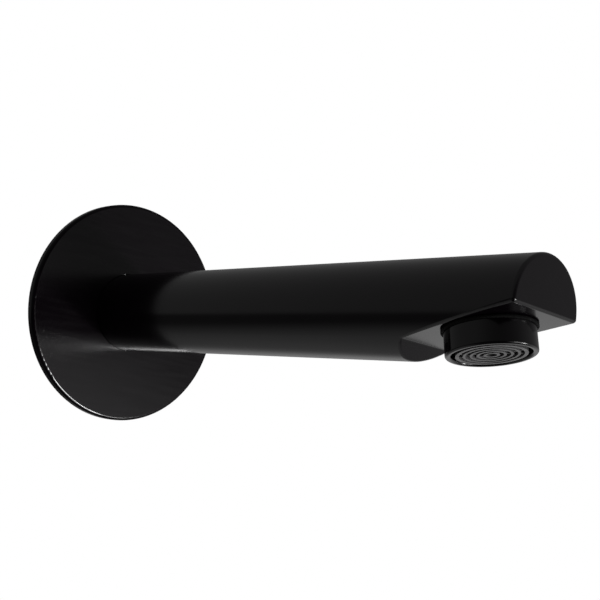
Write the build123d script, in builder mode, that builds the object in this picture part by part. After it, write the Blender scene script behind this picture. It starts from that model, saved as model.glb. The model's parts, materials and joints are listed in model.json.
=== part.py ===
"""Wall spout: a round tube with its tip cut away below, a cover flange and a screw-in aerator.

Millimetres. The finished wall is the plane Y = 0 and the spout reaches out along -Y, with +Z up.
The origin is the centre of the spout on the wall. "Reach" is the distance out from the wall, and
"depth" runs along the aerator's axis, outwards from the slanted flat that it screws into.
"""
import os
from math import cos, radians, sin, tan

from build123d import *

# Spout tube
tube_diameter = 30.0
projection = 194.0
tube_setback = 0.5  # the tube stops short of the wall, so that the flange seats first
edge_radius = 1.0

# Cut-away under the tip
tip_drop = 0.85  # the flat starts this far below the tube's axis
flat_angle = 13.4  # the flat rises towards the tip
flat_length = 40.0  # along the slope, from the tip
step_angle = 45.0  # slope of the facet between the flat and the tube's underside
step_fillet_radius = 1.5  # in the corner between the flat and the facet

# Waterway
socket_diameter = 22.0  # slides over the wall spigot
waterway_diameter = 20.0
waterway_end_wall = 1.5  # the round bore ends this far behind the cut-away
channel_width = 16.0
channel_height = 8.5
channel_lift = 4.5  # middle of the channel above the floor of the aerator's port
throat_diameter = 15.0

# Cover flange
flange_diameter = 85.0
flange_thickness = 3.2
flange_rim_radius = 1.2
flange_clearance = 0.15
flange_groove_depth = 1.3
flange_groove_width = 1.9
gasket_inner_diameter = 44.0
gasket_outer_diameter = 77.0
gasket_thickness = 1.0
gasket_clearance = 0.2

# Wall spigot
inlet_thread_diameter = 20.955  # G 1/2
inlet_thread_length = 14.0
inlet_thread_chamfer = 1.0
spigot_reach = 36.0
spigot_clearance = 0.1
spigot_chamfer = 0.8
spigot_end_gap = 1.0
inlet_bore_diameter = 12.0
key_width = 12.5  # across the flats of the key socket
key_depth = 9.0
seal_reaches = {"rear": 18.0, "front": 23.5}
seal_groove_depth = 1.7
seal_groove_width = 2.6
seal_clearance = 0.03
seal_side_clearance = 0.2
seal_bevel = 0.3  # share of a squeezed ring's section taken off at each corner

# Grub screw
grub_reach = 10.2
grub_diameter = 5.0
grub_thread_clearance = 0.05
grub_recess = 0.3
grub_point_chamfer = 1.0
grub_key_width = 2.5
grub_key_depth = 2.0
grub_groove_depth = 1.2
grub_groove_width = 6.0
grub_seat_gap = 0.05

# Aerator
aerator_from_tip = 18.0  # along the flat
aerator_thread_diameter = 24.0
aerator_thread_clearance = 0.05
aerator_thread_length = 6.0
aerator_thread_chamfer = 0.6
collar_seal_width = 1.1
collar_seal_thickness = 1.0
collar_seal_clearance = 0.15
collar_shoulder = 0.6  # the collar stands out this far past the thread
collar_end = 7.85  # depth of the lip
lip_width = 1.7
lip_radius = 0.7
housing_wall = 1.9
outlet_length = 5.4

# Aerator cartridge
cartridge_clearance = 0.3
cartridge_wall = 1.0
cartridge_recess = 0.15  # its face lies this far inside the lip
cartridge_flange_inset = 1.0  # its flange ends this far inside the thread
cartridge_flange_thickness = 1.1
washer_thickness = 1.6
washer_inner_diameter = 15.8
washer_clearance = 0.5
plate_seat_depth = 3.2  # inside the flat
plate_seat_width = 0.8
plate_seat_height = 1.2
plate_wall = 1.4  # barrel around the plate
plate_clearance = 0.1
plate_thickness = 1.4
jet_count = 6
jet_diameter = 1.3
jet_circle_diameter = 11.2
screen_rim_width = 0.7
screen_rim_height = 0.8
screen_rise = 3.2
screen_thickness = 0.5
outlet_ring_count = 4
outlet_ring_pitch = 1.85
outlet_ring_width = 0.75
outlet_ring_height = 1.6
rib_width = 0.55
rib_recess = 0.4
ribs_per_ring = 4

# Sizes that follow from the ones above
slope = radians(flat_angle)
tube_radius = tube_diameter / 2
socket_radius = socket_diameter / 2
spigot_radius = socket_radius - spigot_clearance
grub_seat_radius = spigot_radius - grub_groove_depth
flat_back_reach = projection - flat_length * cos(slope)
flat_back_height = -tip_drop - flat_length * sin(slope)
step_foot_reach = flat_back_reach - (tube_radius + flat_back_height) / tan(radians(step_angle))
socket_end = spigot_reach + spigot_end_gap
waterway_end = step_foot_reach - waterway_end_wall
port_radius = aerator_thread_diameter / 2 + aerator_thread_clearance
port_depth = aerator_thread_length + cartridge_flange_thickness + washer_thickness
collar_seal_diameter = 2 * (port_radius + collar_seal_clearance + collar_seal_width)
collar_diameter = aerator_thread_diameter + 2 * collar_shoulder
outlet_diameter = collar_diameter - 2 * lip_width
housing_bore_diameter = aerator_thread_diameter - 2 * housing_wall
cartridge_diameter = housing_bore_diameter - 2 * cartridge_clearance
cartridge_flange_diameter = aerator_thread_diameter - 2 * cartridge_flange_inset
cartridge_end = collar_end - cartridge_recess
plate_bore_diameter = cartridge_diameter - 2 * plate_wall
plate_radius = plate_bore_diameter / 2 - plate_clearance

# Planes and axes
side = Plane(origin=(0, 0, 0), x_dir=(0, -1, 0), z_dir=(-1, 0, 0))  # reach across, height up
spout_axis = Axis((0, 0, 0), (0, -1, 0))
outward = Vector(0, -sin(slope), -cos(slope))
outlet_centre = Vector(
    0,
    -projection + aerator_from_tip * cos(slope),
    -tip_drop - aerator_from_tip * sin(slope),
)
outlet_plane = Plane(origin=outlet_centre, x_dir=(1, 0, 0), z_dir=outward)
outlet_section = Plane(origin=outlet_centre, x_dir=(1, 0, 0), z_dir=(0, cos(slope), -sin(slope)))
outlet_axis = Axis(outlet_centre, outward)
port_floor = outlet_centre - outward * port_depth
grub_plane = Plane(origin=(0, -grub_reach, 0), x_dir=(1, 0, 0), z_dir=(0, 0, -1))


def across_wall(reach):
    """Plane square to the spout at a reach from the wall, facing out along the spout."""
    return Plane.XZ.offset(reach)


with BuildPart() as spout_body:
    with BuildSketch(across_wall(tube_setback)):
        Circle(tube_radius)
    extrude(amount=projection - tube_setback)

    # The slanted flat and the steeper facet behind it, cut away from below
    with BuildSketch(side):
        with BuildLine():
            Polyline(
                (projection + tube_radius, -tip_drop + tube_radius * tan(slope)),
                (flat_back_reach, flat_back_height),
                (step_foot_reach - tube_radius / tan(radians(step_angle)), -tube_diameter),
                (projection + tube_radius, -tube_diameter),
                close=True,
            )
        make_face()
    extrude(amount=tube_diameter, both=True, mode=Mode.SUBTRACT)
    step_corner = spout_body.edges().filter_by(Axis.X).sort_by(Axis.Y)[-1]
    fillet(step_corner, step_fillet_radius)
    tip_edges = spout_body.faces().sort_by(Axis.Y)[0].edges()
    straight_or_round = (GeomType.LINE, GeomType.CIRCLE)
    slanted_edges = spout_body.edges().filter_by(lambda edge: edge.geom_type not in straight_or_round)
    fillet(tip_edges + slanted_edges, edge_radius)

    # Threaded port for the aerator, square to the flat
    with BuildSketch(outlet_plane):
        Circle(port_radius)
    extrude(amount=-port_depth, mode=Mode.SUBTRACT)

    # Waterway: socket for the spigot, round bore, then a flat channel over the aerator's throat
    with BuildSketch(across_wall(tube_setback)):
        Circle(socket_radius)
    extrude(amount=socket_end - tube_setback, mode=Mode.SUBTRACT)
    with BuildSketch(across_wall(socket_end)):
        Circle(waterway_diameter / 2)
    extrude(amount=waterway_end - socket_end, mode=Mode.SUBTRACT)
    with BuildSketch(across_wall(waterway_end)):
        with Locations((0, port_floor.Z + channel_lift)):
            SlotOverall(channel_width, channel_height)
    extrude(amount=-port_floor.Y - waterway_end, mode=Mode.SUBTRACT)
    with BuildSketch(outlet_plane.offset(-port_depth)):
        Circle(throat_diameter / 2)
    extrude(amount=-channel_lift / cos(slope), mode=Mode.SUBTRACT)

    # Tapped hole for the grub screw, in the underside
    with BuildSketch(grub_plane):
        Circle(grub_diameter / 2 + grub_thread_clearance)
    extrude(amount=tube_diameter, mode=Mode.SUBTRACT)


with BuildPart() as wall_flange:
    with BuildSketch(across_wall(0)):
        Circle(flange_diameter / 2)
    extrude(amount=flange_thickness)
    fillet(wall_flange.faces().sort_by(Axis.Y)[0].edges(), flange_rim_radius)
    with BuildSketch(across_wall(0)):
        Circle(tube_radius + flange_clearance)
    extrude(amount=flange_thickness, mode=Mode.SUBTRACT)

    # Groove in the bore for the ring that grips the tube
    with BuildSketch(across_wall((flange_thickness - flange_groove_width) / 2)):
        Circle(tube_radius + flange_groove_depth)
    extrude(amount=flange_groove_width, mode=Mode.SUBTRACT)

    # Recess in the back for the gasket
    with BuildSketch(across_wall(0)):
        Circle(gasket_outer_diameter / 2 + gasket_clearance)
        Circle(gasket_inner_diameter / 2 - gasket_clearance, mode=Mode.SUBTRACT)
    extrude(amount=gasket_thickness, mode=Mode.SUBTRACT)


with BuildPart() as flange_gasket:
    with BuildSketch(across_wall(0)):
        Circle(gasket_outer_diameter / 2)
        Circle(gasket_inner_diameter / 2, mode=Mode.SUBTRACT)
    extrude(amount=gasket_thickness)


def squeezed_ring(reach, inner_radius, outer_radius, groove_width):
    """A round rubber ring, squeezed flat between an inner and an outer wall, around the spout's axis."""
    height = outer_radius - inner_radius - 2 * seal_clearance
    width = groove_width - 2 * seal_side_clearance
    with BuildPart() as ring:
        with BuildSketch(side):
            with Locations((reach, (inner_radius + outer_radius) / 2)):
                section = Rectangle(width, height)
            chamfer(section.vertices(), seal_bevel * min(width, height))
        revolve(axis=spout_axis)
    return ring.part


flange_o_ring = squeezed_ring(
    flange_thickness / 2, tube_radius, tube_radius + flange_groove_depth, flange_groove_width
)
spigot_o_rings = {
    place: squeezed_ring(reach, spigot_radius - seal_groove_depth, socket_radius, seal_groove_width)
    for place, reach in seal_reaches.items()
}


with BuildPart() as wall_spigot:
    # Threaded end, behind the wall
    with BuildSketch(across_wall(0)):
        Circle(inlet_thread_diameter / 2)
    extrude(amount=-inlet_thread_length - inlet_thread_chamfer)
    chamfer(wall_spigot.faces().sort_by(Axis.Y)[-1].edges(), inlet_thread_chamfer)

    # Barrel that the spout slides over
    with BuildSketch(across_wall(0)):
        Circle(spigot_radius)
    extrude(amount=spigot_reach)
    chamfer(wall_spigot.faces().sort_by(Axis.Y)[0].edges(), spigot_chamfer)

    # Grooves for the two seals and for the grub screw's point
    grooves = [(reach, seal_groove_width, seal_groove_depth) for reach in seal_reaches.values()]
    grooves.append((grub_reach, grub_groove_width, grub_groove_depth))
    for reach, width, depth in grooves:
        with BuildSketch(across_wall(reach - width / 2)):
            Circle(spigot_radius)
            Circle(spigot_radius - depth, mode=Mode.SUBTRACT)
        extrude(amount=width, mode=Mode.SUBTRACT)

    # Bore, with a key socket in the front end
    with BuildSketch(across_wall(spigot_reach)):
        Circle(inlet_bore_diameter / 2)
    extrude(amount=-spigot_reach - inlet_thread_length - inlet_thread_chamfer, mode=Mode.SUBTRACT)
    with BuildSketch(across_wall(spigot_reach)):
        RegularPolygon(key_width / 2, 6, major_radius=False)
    extrude(amount=-key_depth, mode=Mode.SUBTRACT)


with BuildPart() as grub_screw:
    with BuildSketch(grub_plane.offset(grub_seat_radius + grub_seat_gap)):
        Circle(grub_diameter / 2)
    extrude(amount=tube_radius - grub_recess - grub_seat_radius - grub_seat_gap)
    chamfer(grub_screw.faces().sort_by(Axis.Z)[-1].edges(), grub_point_chamfer)
    with BuildSketch(grub_plane.offset(tube_radius - grub_recess)):
        RegularPolygon(grub_key_width / 2, 6, major_radius=False)
    extrude(amount=-grub_key_depth, mode=Mode.SUBTRACT)


with BuildPart() as aerator_housing:
    with BuildSketch(outlet_section):
        with BuildLine():
            Polyline(
                (housing_bore_diameter / 2, -aerator_thread_length),
                (aerator_thread_diameter / 2 - aerator_thread_chamfer, -aerator_thread_length),
                (aerator_thread_diameter / 2, -aerator_thread_length + aerator_thread_chamfer),
                (aerator_thread_diameter / 2, collar_seal_thickness),
                (collar_diameter / 2, collar_seal_thickness),
                (collar_diameter / 2, collar_end),
                (outlet_diameter / 2, collar_end),
                (outlet_diameter / 2, collar_end - outlet_length),
                (housing_bore_diameter / 2, collar_end - outlet_length),
                close=True,
            )
        make_face()
    revolve(axis=outlet_axis)
    fillet(aerator_housing.faces().sort_by(outlet_axis)[-1].edges(), lip_radius)


with BuildPart() as collar_seal:
    # A flat ring with a bevelled outer edge, squeezed between the flat and the collar
    with BuildSketch(outlet_plane):
        Circle(collar_seal_diameter / 2)
    extrude(amount=collar_seal_thickness)
    chamfer(collar_seal.edges(), seal_bevel * collar_seal_thickness)
    with BuildSketch(outlet_plane):
        Circle(port_radius + collar_seal_clearance)
    extrude(amount=collar_seal_thickness, mode=Mode.SUBTRACT)


with BuildPart() as aerator_washer:
    with BuildSketch(outlet_plane.offset(-port_depth)):
        Circle(port_radius - washer_clearance)
        Circle(washer_inner_diameter / 2, mode=Mode.SUBTRACT)
    extrude(amount=washer_thickness)


with BuildPart() as aerator_cartridge:
    # Barrel that hangs by its flange on the housing's end, with a seat inside for the jet plate
    with BuildSketch(outlet_section):
        with BuildLine():
            Polyline(
                (plate_bore_diameter / 2, -aerator_thread_length - cartridge_flange_thickness),
                (cartridge_flange_diameter / 2, -aerator_thread_length - cartridge_flange_thickness),
                (cartridge_flange_diameter / 2, -aerator_thread_length),
                (cartridge_diameter / 2, -aerator_thread_length),
                (cartridge_diameter / 2, cartridge_end),
                (cartridge_diameter / 2 - cartridge_wall, cartridge_end),
                (cartridge_diameter / 2 - cartridge_wall, plate_seat_height - plate_seat_depth),
                (plate_bore_diameter / 2 - plate_seat_width, plate_seat_height - plate_seat_depth),
                (plate_bore_diameter / 2 - plate_seat_width, -plate_seat_depth),
                (plate_bore_diameter / 2, -plate_seat_depth),
                close=True,
            )
        make_face()
    revolve(axis=outlet_axis)

    # Concentric outlet rings, the largest first
    ring_radii = [outlet_ring_pitch * (index + 1) for index in range(outlet_ring_count)]
    with BuildSketch(outlet_plane.offset(cartridge_end)):
        for radius in reversed(ring_radii):
            Circle(radius + outlet_ring_width / 2)
            Circle(radius - outlet_ring_width / 2, mode=Mode.SUBTRACT)
    extrude(amount=-outlet_ring_height)

    # Ribs from each ring to the next and to the barrel, more of them further out
    barrel_middle = (cartridge_diameter - cartridge_wall) / 2
    with BuildSketch(outlet_plane.offset(cartridge_end - rib_recess)):
        for index, inner in enumerate(ring_radii):
            outer = ring_radii[index + 1] if index + 1 < outlet_ring_count else barrel_middle
            with PolarLocations((inner + outer) / 2, ribs_per_ring * (index + 1)):
                Rectangle(outer - inner, rib_width)
    extrude(amount=rib_recess - outlet_ring_height)


with BuildPart() as jet_plate:
    with BuildSketch(outlet_plane.offset(-plate_seat_depth)):
        Circle(plate_radius)
        with PolarLocations(jet_circle_diameter / 2, jet_count):
            Circle(jet_diameter / 2, mode=Mode.SUBTRACT)
    extrude(amount=-plate_thickness)


with BuildPart() as inlet_screen:
    # A thin dome on a rim that stands on the jet plate
    rim_foot = -plate_seat_depth - plate_thickness
    rim_top = rim_foot - screen_rim_height
    dome_radius = plate_radius - screen_rim_width
    dome_inner_radius = dome_radius - screen_thickness
    with BuildSketch(outlet_section):
        with BuildLine():
            outside = TangentArc((0, rim_top - screen_rise), (dome_radius, rim_top), tangent=(1, 0))
            Polyline(
                outside @ 1,
                (plate_radius, rim_top),
                (plate_radius, rim_foot),
                (dome_inner_radius, rim_foot),
            )
            inside = TangentArc(
                (0, rim_top - screen_rise + screen_thickness), (dome_inner_radius, rim_foot), tangent=(1, 0)
            )
            Line(inside @ 0, outside @ 0)
        make_face()
    revolve(axis=outlet_axis)


pieces = {
    "spout_body": spout_body.part,
    "wall_flange": wall_flange.part,
    "flange_o_ring": flange_o_ring,
    "flange_gasket": flange_gasket.part,
    "wall_spigot": wall_spigot.part,
    "spigot_o_ring_rear": spigot_o_rings["rear"],
    "spigot_o_ring_front": spigot_o_rings["front"],
    "grub_screw": grub_screw.part,
    "aerator_housing": aerator_housing.part,
    "collar_seal": collar_seal.part,
    "aerator_washer": aerator_washer.part,
    "aerator_cartridge": aerator_cartridge.part,
    "jet_plate": jet_plate.part,
    "inlet_screen": inlet_screen.part,
}

os.makedirs("parts", exist_ok=True)
for name, piece in pieces.items():
    piece.label = name
    export_step(piece, f"parts/{name}.step")
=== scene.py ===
"""Looks of the wall spout: satin black metal, glossy aerator collar, grey outlet rings, brass spigot.

Metres, in the frame of the solids: the wall is the plane Y = 0, the spout reaches out along -Y, +Z up.
"""
import json
from math import cos, pi, radians, sin

import bmesh
import bpy
from mathutils import Matrix, Vector


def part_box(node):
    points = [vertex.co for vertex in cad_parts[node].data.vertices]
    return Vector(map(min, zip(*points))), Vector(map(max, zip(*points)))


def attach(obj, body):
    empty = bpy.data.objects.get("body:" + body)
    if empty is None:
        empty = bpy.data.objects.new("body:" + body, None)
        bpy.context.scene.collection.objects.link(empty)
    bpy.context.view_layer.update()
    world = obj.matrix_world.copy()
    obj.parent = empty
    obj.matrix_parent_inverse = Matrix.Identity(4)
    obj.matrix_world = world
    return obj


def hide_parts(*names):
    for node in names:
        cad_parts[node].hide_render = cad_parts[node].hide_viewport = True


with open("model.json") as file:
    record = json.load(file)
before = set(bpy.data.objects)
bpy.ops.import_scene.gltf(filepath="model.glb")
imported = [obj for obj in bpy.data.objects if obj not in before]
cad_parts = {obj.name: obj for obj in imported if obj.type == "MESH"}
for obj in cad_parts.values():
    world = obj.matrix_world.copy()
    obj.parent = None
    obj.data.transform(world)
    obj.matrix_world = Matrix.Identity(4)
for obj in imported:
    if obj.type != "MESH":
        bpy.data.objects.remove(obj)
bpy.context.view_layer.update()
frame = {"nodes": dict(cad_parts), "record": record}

MM = 0.001

# Camera, fitted to the outlines in the photograph
CAMERA_YAW = radians(-42.825)
CAMERA_PITCH = radians(-8.636)
CAMERA_ROLL = radians(8.130)
CAMERA_DISTANCE = 335.435 * MM
CAMERA_SHIFT_UP = 3.685 * MM
CAMERA_AIM = Vector((0, -100 * MM, 0))
CAMERA_CLIP = 10 * MM
FOCAL_PIXELS = 1028.17
IMAGE_PIXELS = 600
SENSOR_WIDTH = 36.0

# Studio: (height, brightness) of the surroundings, with heights from -1, straight down, to 1, straight up.
# The left side's light gives way to the right side's as X goes from the left edge to the right one.
LEFT_LIGHT = [
    (-1.0, 0.32), (-0.68, 0.28), (-0.50, 0.12), (-0.40, 0.05), (-0.20, 0.05), (-0.12, 0.16), (1.0, 0.17),
]
RIGHT_LIGHT = [(-1.0, 0.22), (-0.64, 0.20), (-0.42, 0.62), (-0.10, 0.37), (0.05, 0.165), (1.0, 0.18)]
LEFT_EDGE = 0.1
RIGHT_EDGE = 0.8

# Round patches of the surroundings: direction, strength, and the angles from the direction where the patch
# starts and ends to fade. A light's strength is added to the brightness there, and a shade's is multiplied
# by that brightness first.
LAMP = (Vector((0.547, -0.777, -0.308)), 52.0, radians(2.5), radians(5.5))
LAMP_HALO = (Vector((0.50, -0.80, -0.33)), 2.0, radians(6), radians(14))
LAMP_GLOW = (Vector((0.33, -0.89, -0.30)), 0.46, radians(20), radians(28))
SECOND_LAMP = (Vector((0.22, -0.93, -0.30)), 6.0, radians(3), radians(10))
DARK_SIDE = (Vector((-0.35, -0.80, -0.49)), -0.7, radians(40), radians(85))
DARK_BELOW = (Vector((0.0, -0.45, -0.89)), -0.9, radians(22), radians(40))
WHITE = (1, 1, 1, 1)

FLOOR_HEIGHT = -1500 * MM
FLOOR_SIZE = 12.0
FLOOR_COLOUR = (0.8, 0.8, 0.8, 1)
FLOOR_GLOW = 0.9

# The black coating that the tube and the flange share
COATING_DARK = (0.0026, 0.0012, 0.0026)
COATING_LIGHT = (0.0034, 0.0018, 0.0034)
COATING_GRAIN = 400
ORANGE_PEEL_GRAIN = 2600
ORANGE_PEEL_DEPTH = 0.002 * MM

# Values between which nearly all of the soft noise lies
NOISE_LOW = 0.3
NOISE_HIGH = 0.7

# The flange's rounded rim: its width, the direction of the side that gets a painted highlight, the
# distances along it where the rim goes from painted shade to painted highlight, and the refractive index
# from the face, 0, to the side, 1
RIM_WIDTH = 1.2 * MM
RIM_HIGHLIGHT_SIDE = Vector((-0.559, 0, -0.829))
RIM_SHADE_REACH = 36.5 * MM
RIM_HIGHLIGHT_REACH = 40.2 * MM
PAINTED_SHADE_INDEX = [(0.02, 1.5), (0.10, 1.25)]
PAINTED_HIGHLIGHT_INDEX = [(0.05, 1.5), (0.12, 2.8), (0.50, 2.8), (0.75, 1.15)]

# Sizes of the spigot that the solids' boxes and mounts don't give
THREAD_PITCH = 1.814 * MM
THREAD_DEPTH = 1.162 * MM
THREAD_RUN_OUT = 1.5 * MM
THREAD_CHAMFER = 1.0 * MM
SPIGOT_CHAMFER = 0.8 * MM
SEAL_GROOVE_WIDTH = 2.6 * MM
SEAL_GROOVE_DEPTH = 1.7 * MM
GRUB_GROOVE_WIDTH = 6.0 * MM
GRUB_GROOVE_DEPTH = 1.2 * MM
KEY_WIDTH = 12.5 * MM
KEY_DEPTH = 9.0 * MM
SPIGOT_SEGMENTS = 96
STEPS_PER_PITCH = 16


# Nodes

def level_ramp(tree, value, stops):
    """Level that follows (position, level) stops as a value goes from 0 to 1."""
    ramp = tree.nodes.new("ShaderNodeValToRGB")
    elements = ramp.color_ramp.elements
    while len(elements) < len(stops):
        elements.new(0.5)
    for element, (position, level) in zip(elements, stops):
        element.position = position
        element.color = (level, level, level, 1)
    tree.links.new(value, ramp.inputs["Fac"])
    return ramp.outputs["Color"]


def spread(tree, value, start, end, low=0.0, high=1.0, smooth=False):
    """Level that goes from `low` to `high` as a value goes from `start` to `end`."""
    node = tree.nodes.new("ShaderNodeMapRange")
    node.interpolation_type = "SMOOTHSTEP" if smooth else "LINEAR"
    for name, level in (("From Min", start), ("From Max", end), ("To Min", low), ("To Max", high)):
        node.inputs[name].default_value = level
    tree.links.new(value, node.inputs["Value"])
    return node.outputs["Result"]


def blend(tree, share, first, second):
    """Level that goes from a first one to a second one as a share goes from 0 to 1."""
    mix = tree.nodes.new("ShaderNodeMix")
    for name, level in (("Factor", share), ("A", first), ("B", second)):
        tree.links.new(level, mix.inputs[name])
    return mix.outputs["Result"]


def vector_maths(tree, operation, *values):
    """Result of a vector maths node that is fed with outputs of other nodes and with fixed vectors."""
    node = tree.nodes.new("ShaderNodeVectorMath")
    node.operation = operation
    for socket, value in zip(node.inputs, values):
        if isinstance(value, bpy.types.NodeSocket):
            tree.links.new(value, socket)
        else:
            socket.default_value = value
    return node.outputs["Value" if operation in ("DOT_PRODUCT", "LENGTH") else "Vector"]


# Finishes

class Finish:
    """A material under construction: one Principled shader, and textures in the solids' own metres."""

    def __init__(self, name, metallic=0.0):
        self.material = bpy.data.materials.new(name)
        self.material.use_nodes = True
        self.tree = self.material.node_tree
        self.shader = self.tree.nodes["Principled BSDF"]
        self.place = self.tree.nodes.new("ShaderNodeTexCoord").outputs["Object"]
        self.normal = None
        self.set("Metallic", metallic)

    def set(self, name, value):
        """Give one of the shader's inputs the same value all over."""
        self.shader.inputs[name].default_value = value

    def vary(self, name, output):
        """Give one of the shader's inputs the output of another node."""
        self.tree.links.new(output, self.shader.inputs[name])

    def noise(self, scale, detail=2.0, stretch=(1, 1, 1)):
        """Soft noise with about `scale` lumps a metre, squeezed along each axis by `stretch`."""
        mapping = self.tree.nodes.new("ShaderNodeMapping")
        mapping.inputs["Scale"].default_value = stretch
        noise = self.tree.nodes.new("ShaderNodeTexNoise")
        noise.inputs["Scale"].default_value = scale
        noise.inputs["Detail"].default_value = detail
        self.tree.links.new(self.place, mapping.inputs["Vector"])
        self.tree.links.new(mapping.outputs["Vector"], noise.inputs["Vector"])
        return noise.outputs["Fac"]

    def colour(self, pattern, dark, light):
        """Base colour that goes from `dark` to `light` with a pattern."""
        ramp = self.tree.nodes.new("ShaderNodeValToRGB")
        stops = ((NOISE_LOW, dark), (NOISE_HIGH, light))
        for element, (position, colour) in zip(ramp.color_ramp.elements, stops):
            element.position = position
            element.color = (*colour, 1)
        self.tree.links.new(pattern, ramp.inputs["Fac"])
        self.vary("Base Color", ramp.outputs["Color"])

    def roughness(self, pattern, low, high):
        """Roughness that goes from `low` to `high` with a pattern."""
        self.vary("Roughness", spread(self.tree, pattern, NOISE_LOW, NOISE_HIGH, low, high))

    def bump(self, pattern, depth):
        """Relief of a depth in metres, on top of any relief added before."""
        bump = self.tree.nodes.new("ShaderNodeBump")
        bump.inputs["Distance"].default_value = depth
        self.tree.links.new(pattern, bump.inputs["Height"])
        if self.normal:
            self.tree.links.new(self.normal, bump.inputs["Normal"])
        self.normal = bump.outputs["Normal"]
        self.vary("Normal", self.normal)

    def rim_highlight_and_shade_index(self, outside):
        """Refractive index of a disc on the spout's axis, raised on one side of its rounded edge as a
        painted highlight and lowered on the rest of the edge as painted shade.
        """
        across = vector_maths(self.tree, "MULTIPLY", self.place, (1, 0, 1))
        axis_distance = vector_maths(self.tree, "LENGTH", across)
        outwards = spread(self.tree, axis_distance, outside - RIM_WIDTH, outside)
        reach = vector_maths(self.tree, "DOT_PRODUCT", self.place, RIM_HIGHLIGHT_SIDE)
        # The rim reflects more on its lower-left side, a painted highlight, and less on the rest of its
        # edge, painted shade.
        highlight_share = spread(self.tree, reach, RIM_SHADE_REACH, RIM_HIGHLIGHT_REACH)
        shade_index = level_ramp(self.tree, outwards, PAINTED_SHADE_INDEX)
        highlight_index = level_ramp(self.tree, outwards, PAINTED_HIGHLIGHT_INDEX)
        self.vary("IOR", blend(self.tree, highlight_share, shade_index, highlight_index))


def satin_black():
    """The tube's coating: nearly black and smooth, with a very fine orange peel."""
    finish = Finish("satin_black")
    finish.colour(finish.noise(COATING_GRAIN), COATING_DARK, COATING_LIGHT)
    finish.roughness(finish.noise(45), 0.15, 0.19)
    finish.bump(finish.noise(ORANGE_PEEL_GRAIN), ORANGE_PEEL_DEPTH)
    return finish.material


def brushed_black():
    """The flange's coating: the tube's, over fine level brush marks, with a painted highlight and painted
    shade on its rim.
    """
    finish = Finish("brushed_black")
    finish.colour(finish.noise(COATING_GRAIN), COATING_DARK, COATING_LIGHT)
    finish.roughness(finish.noise(60, stretch=(1, 1, 12)), 0.15, 0.20)
    finish.bump(finish.noise(80, detail=4, stretch=(1, 1, 40)), 0.006 * MM)
    finish.bump(finish.noise(ORANGE_PEEL_GRAIN), ORANGE_PEEL_DEPTH)
    finish.rim_highlight_and_shade_index(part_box("wall_flange")[1][0])
    return finish.material


def gloss_black():
    """The aerator's collar: black, and glossier than the tube."""
    finish = Finish("gloss_black")
    finish.colour(finish.noise(500), (0.0012, 0.0004, 0.0012), (0.0018, 0.0008, 0.0018))
    finish.roughness(finish.noise(120), 0.11, 0.16)
    finish.bump(finish.noise(1800), 0.001 * MM)
    return finish.material


def grey_plastic():
    """The aerator's insert: moulded plastic with a faint grain."""
    finish = Finish("grey_plastic")
    finish.colour(finish.noise(700, detail=4), (0.094, 0.092, 0.094), (0.128, 0.126, 0.128))
    finish.roughness(finish.noise(300), 0.28, 0.40)
    finish.bump(finish.noise(4000), 0.004 * MM)
    return finish.material


def seal_rubber():
    """The rings and gaskets: matte black rubber that hardly mirrors anything."""
    finish = Finish("seal_rubber")
    finish.set("Specular IOR Level", 0.05)
    finish.colour(finish.noise(600, detail=5), (0.006, 0.006, 0.006), (0.011, 0.011, 0.011))
    finish.roughness(finish.noise(500), 0.55, 0.75)
    finish.bump(finish.noise(3500, detail=4), 0.01 * MM)
    return finish.material


def turned_brass():
    """The spigot: bare brass with fine rings from the lathe, all round the spout's axis."""
    finish = Finish("turned_brass", metallic=1.0)
    finish.colour(finish.noise(150, detail=4), (0.62, 0.40, 0.15), (0.78, 0.55, 0.25))
    finish.roughness(finish.noise(90, detail=4), 0.24, 0.38)
    finish.bump(finish.noise(4, detail=3, stretch=(1, 1000, 1)), 0.006 * MM)
    return finish.material


def screw_steel():
    """The grub screw: plain stainless steel."""
    finish = Finish("screw_steel", metallic=1.0)
    finish.colour(finish.noise(900, detail=4), (0.36, 0.36, 0.37), (0.52, 0.52, 0.53))
    finish.roughness(finish.noise(700), 0.25, 0.4)
    finish.bump(finish.noise(2500), 0.003 * MM)
    return finish.material


DRESS = {
    satin_black: ["spout_body"],
    brushed_black: ["wall_flange"],
    gloss_black: ["aerator_housing"],
    grey_plastic: ["aerator_cartridge", "jet_plate", "inlet_screen"],
    seal_rubber: [
        "flange_o_ring",
        "flange_gasket",
        "spigot_o_ring_rear",
        "spigot_o_ring_front",
        "collar_seal",
        "aerator_washer",
    ],
    screw_steel: ["grub_screw"],
}


def dress_solids():
    """Give each solid its finish, apart from the plain spigot, which is replaced."""
    for make, nodes in DRESS.items():
        material = make()
        for node in nodes:
            for slot in frame["nodes"][node].material_slots:
                slot.material = material


# Spigot: a ring is (y, radius at an angle, whether the ring is a sharp edge)

def round_ring(y, radius):
    """A sharp ring with the same radius all round."""
    return y, lambda angle: radius, True


def key_ring(y):
    """A sharp hexagonal ring, for the key that turns the spigot."""
    return y, lambda angle: KEY_WIDTH / 2 / cos(angle % (pi / 3) - pi / 6), True


def thread_ring(y, end, outside):
    """A smooth ring of the thread, which fades in from Y = 0 and is chamfered at its end."""
    chamfered = outside - THREAD_CHAMFER + (end - y)
    depth = THREAD_DEPTH * min(1, max(0, y / THREAD_RUN_OUT))

    def radius(angle):
        turn = y / THREAD_PITCH + angle / (2 * pi)
        return min(chamfered, outside - depth * (0.5 - 0.5 * cos(2 * pi * turn)))

    return y, radius, False


def centre_reach(node):
    """Where the middle of a node lies along Y."""
    low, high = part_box(node)
    return (low[1] + high[1]) / 2


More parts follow.
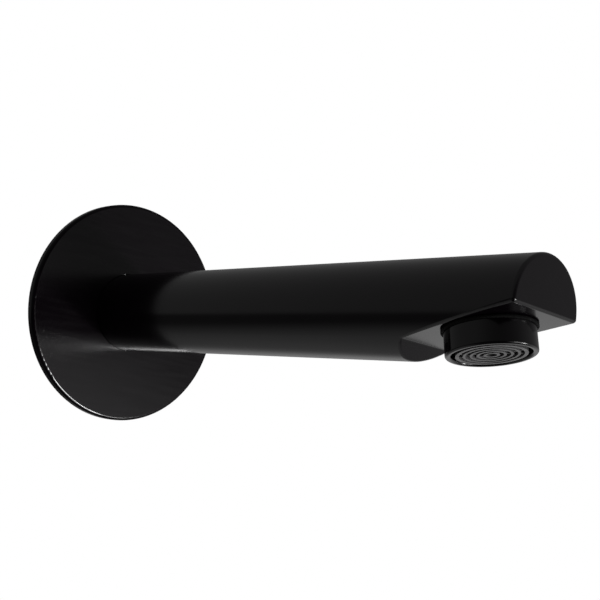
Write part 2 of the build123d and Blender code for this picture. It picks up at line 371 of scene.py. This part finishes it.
def groove_rings(outside):
    """The rings of the barrel's grooves, from the wall outwards."""
    grooves = [
        (centre_reach("grub_screw"), GRUB_GROOVE_WIDTH, GRUB_GROOVE_DEPTH),
        (centre_reach("spigot_o_ring_rear"), SEAL_GROOVE_WIDTH, SEAL_GROOVE_DEPTH),
        (centre_reach("spigot_o_ring_front"), SEAL_GROOVE_WIDTH, SEAL_GROOVE_DEPTH),
    ]
    rings = []
    for middle, width, depth in grooves:
        rings += [
            round_ring(middle + width / 2, outside),
            round_ring(middle + width / 2, outside - depth),
            round_ring(middle - width / 2, outside - depth),
            round_ring(middle - width / 2, outside),
        ]
    return rings


def spigot_rings():
    """The spigot's surface as a closed run of rings: thread, barrel, socket for the key, and bore."""
    low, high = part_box("wall_spigot")
    front, back = low[1], high[1]
    mounts = {mount["name"]: mount["dims"] for mount in frame["record"]["mounts"]}
    thread_radius = mounts["inlet_thread"]["r_mm"] * MM
    bore_radius = mounts["water_inlet"]["r_mm"] * MM
    barrel_radius = high[0]
    steps = round(back / THREAD_PITCH * STEPS_PER_PITCH)
    thread = [thread_ring(back * (1 - step / steps), back, thread_radius) for step in range(steps + 1)]
    return [
        *thread,
        round_ring(0, barrel_radius),
        *groove_rings(barrel_radius),
        round_ring(front + SPIGOT_CHAMFER, barrel_radius),
        round_ring(front, barrel_radius - SPIGOT_CHAMFER),
        key_ring(front),
        key_ring(front + KEY_DEPTH),
        round_ring(front + KEY_DEPTH, bore_radius),
        round_ring(back, bore_radius),
    ]


def spigot_mesh():
    """Mesh through the spigot's rings, each joined to the next and the last to the first."""
    angles = [2 * pi * index / SPIGOT_SEGMENTS for index in range(SPIGOT_SEGMENTS)]
    shape = bmesh.new()
    rows = []
    for y, radius, sharp in spigot_rings():
        row = [shape.verts.new((radius(a) * cos(a), y, radius(a) * sin(a))) for a in angles]
        rows.append((row, sharp))
    for (row, sharp), (next_row, _) in zip(rows, rows[1:] + rows[:1]):
        for index in range(SPIGOT_SEGMENTS):
            after = (index + 1) % SPIGOT_SEGMENTS
            face = shape.faces.new((row[index], row[after], next_row[after], next_row[index]))
            face.smooth = True
            shape.edges.get((row[index], row[after])).smooth = not sharp
    bmesh.ops.recalc_face_normals(shape, faces=shape.faces)
    mesh = bpy.data.meshes.new("threaded_spigot")
    shape.to_mesh(mesh)
    shape.free()
    return mesh


def add_spigot():
    """The spigot with its pipe thread cut, in place of the plain one."""
    mesh = spigot_mesh()
    mesh.materials.append(turned_brass())
    spigot = bpy.data.objects.new("threaded_spigot", mesh)
    bpy.context.collection.objects.link(spigot)
    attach(spigot, "root")
    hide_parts("wall_spigot")


# Studio

def add_camera():
    """The camera, placed, turned and rolled as it was for the photograph."""
    back = Vector((
        sin(CAMERA_YAW) * cos(CAMERA_PITCH),
        -cos(CAMERA_YAW) * cos(CAMERA_PITCH),
        sin(CAMERA_PITCH),
    ))
    right = Vector((cos(CAMERA_YAW), sin(CAMERA_YAW), 0))
    up = back.cross(right)
    aim = CAMERA_AIM + CAMERA_SHIFT_UP * up
    rolled_right = cos(CAMERA_ROLL) * right + sin(CAMERA_ROLL) * up
    rolled_up = cos(CAMERA_ROLL) * up - sin(CAMERA_ROLL) * right
    turn = Matrix((rolled_right, rolled_up, back)).transposed().to_4x4()
    data = bpy.data.cameras.new("camera")
    data.sensor_width = SENSOR_WIDTH
    data.lens = FOCAL_PIXELS * SENSOR_WIDTH / IMAGE_PIXELS
    data.clip_start = CAMERA_CLIP
    camera = bpy.data.objects.new("camera", data)
    camera.matrix_world = Matrix.Translation(aim + CAMERA_DISTANCE * back) @ turn
    bpy.context.collection.objects.link(camera)
    bpy.context.scene.camera = camera


def add_floor():
    """A plain white floor below the spout, which only the camera sees."""
    bpy.ops.mesh.primitive_plane_add(size=FLOOR_SIZE, location=(0, 0, FLOOR_HEIGHT))
    floor = bpy.context.object
    floor.name = "floor"
    finish = Finish("floor")
    finish.set("Base Color", FLOOR_COLOUR)
    finish.set("Roughness", 1.0)
    finish.set("Emission Color", WHITE)
    finish.set("Emission Strength", FLOOR_GLOW)
    floor.data.materials.append(finish.material)
    floor.visible_diffuse = False
    floor.visible_glossy = False
    floor.visible_shadow = False


def patch(tree, direction, spot):
    """Strength of a round patch of the surroundings, which fades out at its edge."""
    centre, strength, full, faded = spot
    nearness = vector_maths(tree, "DOT_PRODUCT", direction, centre.normalized())
    return spread(tree, nearness, cos(faded), cos(full), high=strength, smooth=True)


def surroundings(tree):
    """Brightness of the surroundings in each direction: two sides, then the shades, then the lights."""
    direction = tree.nodes.new("ShaderNodeTexCoord").outputs["Generated"]
    split = tree.nodes.new("ShaderNodeSeparateXYZ")
    tree.links.new(direction, split.inputs["Vector"])
    height = spread(tree, split.outputs["Z"], -1, 1)
    sides = []
    for stops in (LEFT_LIGHT, RIGHT_LIGHT):
        shares = [((z + 1) / 2, brightness) for z, brightness in stops]
        sides.append(level_ramp(tree, height, shares))
    rightwards = spread(tree, split.outputs["X"], LEFT_EDGE, RIGHT_EDGE, smooth=True)
    level = blend(tree, rightwards, *sides)
    for shade in (DARK_SIDE, DARK_BELOW):
        level = vector_maths(tree, "MULTIPLY_ADD", level, patch(tree, direction, shade), level)
    for light in (LAMP, LAMP_HALO, LAMP_GLOW, SECOND_LAMP):
        level = vector_maths(tree, "ADD", level, patch(tree, direction, light))
    return level


def add_light():
    """Soft light from all round, dim where the metal mirrors it, with white behind for the camera."""
    world = bpy.data.worlds.new("studio")
    bpy.context.scene.world = world
    world.use_nodes = True
    tree = world.node_tree
    light = tree.nodes["Background"]
    tree.links.new(surroundings(tree), light.inputs["Color"])
    backdrop = tree.nodes.new("ShaderNodeBackground")
    backdrop.inputs["Color"].default_value = WHITE
    camera_ray = tree.nodes.new("ShaderNodeLightPath").outputs["Is Camera Ray"]
    choice = tree.nodes.new("ShaderNodeMixShader")
    outputs = (camera_ray, light.outputs["Background"], backdrop.outputs["Background"])
    for output, socket in zip(outputs, choice.inputs):
        tree.links.new(output, socket)
    tree.links.new(choice.outputs["Shader"], tree.nodes["World Output"].inputs["Surface"])
    bpy.context.scene.view_settings.view_transform = "Standard"


dress_solids()
add_spigot()
add_camera()
add_floor()
add_light()
